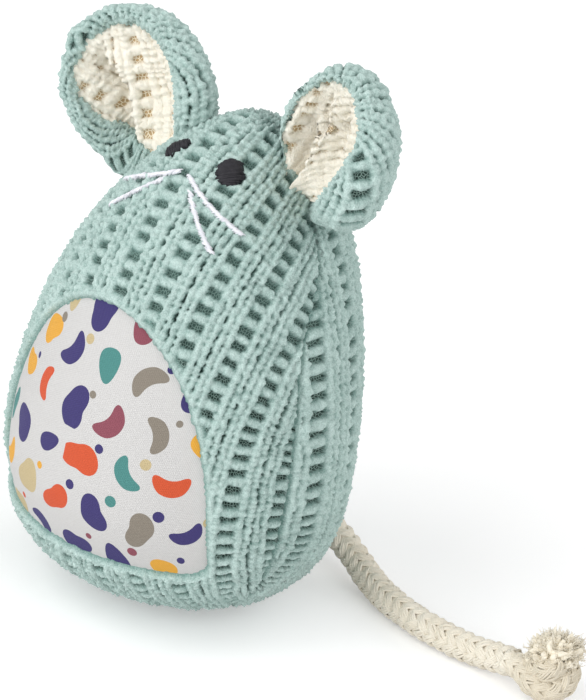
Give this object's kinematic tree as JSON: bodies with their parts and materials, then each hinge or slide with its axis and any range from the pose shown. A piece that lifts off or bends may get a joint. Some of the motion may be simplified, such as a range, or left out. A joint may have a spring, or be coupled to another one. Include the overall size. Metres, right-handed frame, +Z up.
{
  "type": "catnip mouse",
  "caption": "Plump sitting toy mouse of ribbed chenille knit with a printed belly patch, cupped lined ears that fold, stitched face and a knotted rope tail that swings and lifts.",
  "frame": {"origin": "middle of the small flat that the mouse sits on", "axes": "+Z up, -Y the way the mouse faces, +X its own left side"},
  "size_m": [0.104, 0.0574, 0.095],
  "materials": {
    "chenille": "sage green ribbed chenille knit, soft pile, matt",
    "printed_cotton": "white cotton twill with a small multicoloured print",
    "ear_lining": "cream chenille knit, soft pile, matt",
    "eye_thread": "black satin-stitch embroidery thread, slight sheen",
    "whisker_thread": "white satin-stitch embroidery thread, slight sheen",
    "cotton_rope": "undyed braided cotton, matt",
    "stuffing": "white polyester fibre",
    "catnip": "dried crumbled leaf",
    "sewing_thread": "sage green polyester thread"
  },
  "bodies": {
    "body": {"front_panel": "chenille", "back_panel": "chenille", "belly_patch": "printed_cotton", "stuffing_front": "stuffing", "stuffing_back": "stuffing", "catnip_fill": "catnip", "body_seam_thread": "sewing_thread", "left_eye": "eye_thread", "right_eye": "eye_thread", "left_upper_whisker": "whisker_thread", "left_lower_whisker": "whisker_thread", "right_upper_whisker": "whisker_thread", "right_lower_whisker": "whisker_thread", "tail_root": "cotton_rope"},
    "left_ear": {"left_ear_outer": "chenille", "left_ear_lining": "ear_lining"},
    "right_ear": {"right_ear_outer": "chenille", "right_ear_lining": "ear_lining"},
    "tail_base": {"tail_rope_base": "cotton_rope"},
    "tail_end": {"tail_rope_end": "cotton_rope", "tail_knot": "cotton_rope", "tail_tuft": "cotton_rope"}
  },
  "joints": [
    {"name": "left_ear_fold", "type": "hinge", "parent": "body", "child": "left_ear", "pos_m": [0.01507, 0.00052, 0.06971], "axis": [-0.5781, 0.183, 0.7952], "range_deg": [-15, 25], "stiffness_Nm_per_rad": 0.01},
    {"name": "right_ear_fold", "type": "hinge", "parent": "body", "child": "right_ear", "pos_m": [-0.01749, -0.00028, 0.06611], "axis": [-0.5193, -0.1801, -0.8354], "range_deg": [-15, 25], "stiffness_Nm_per_rad": 0.01},
    {"name": "tail_swing", "type": "hinge", "parent": "body", "child": "tail_base", "pos_m": [0.01168, 0.01836, 0.00904], "axis": [0, 0, 1], "range_deg": [-10, 75]},
    {"name": "tail_lift", "type": "hinge", "parent": "tail_base", "child": "tail_end", "pos_m": [0.03103, 0.01604, 0.00516], "axis": [-0.284, -0.9588, 0], "range_deg": [0, 60]}
  ]
}
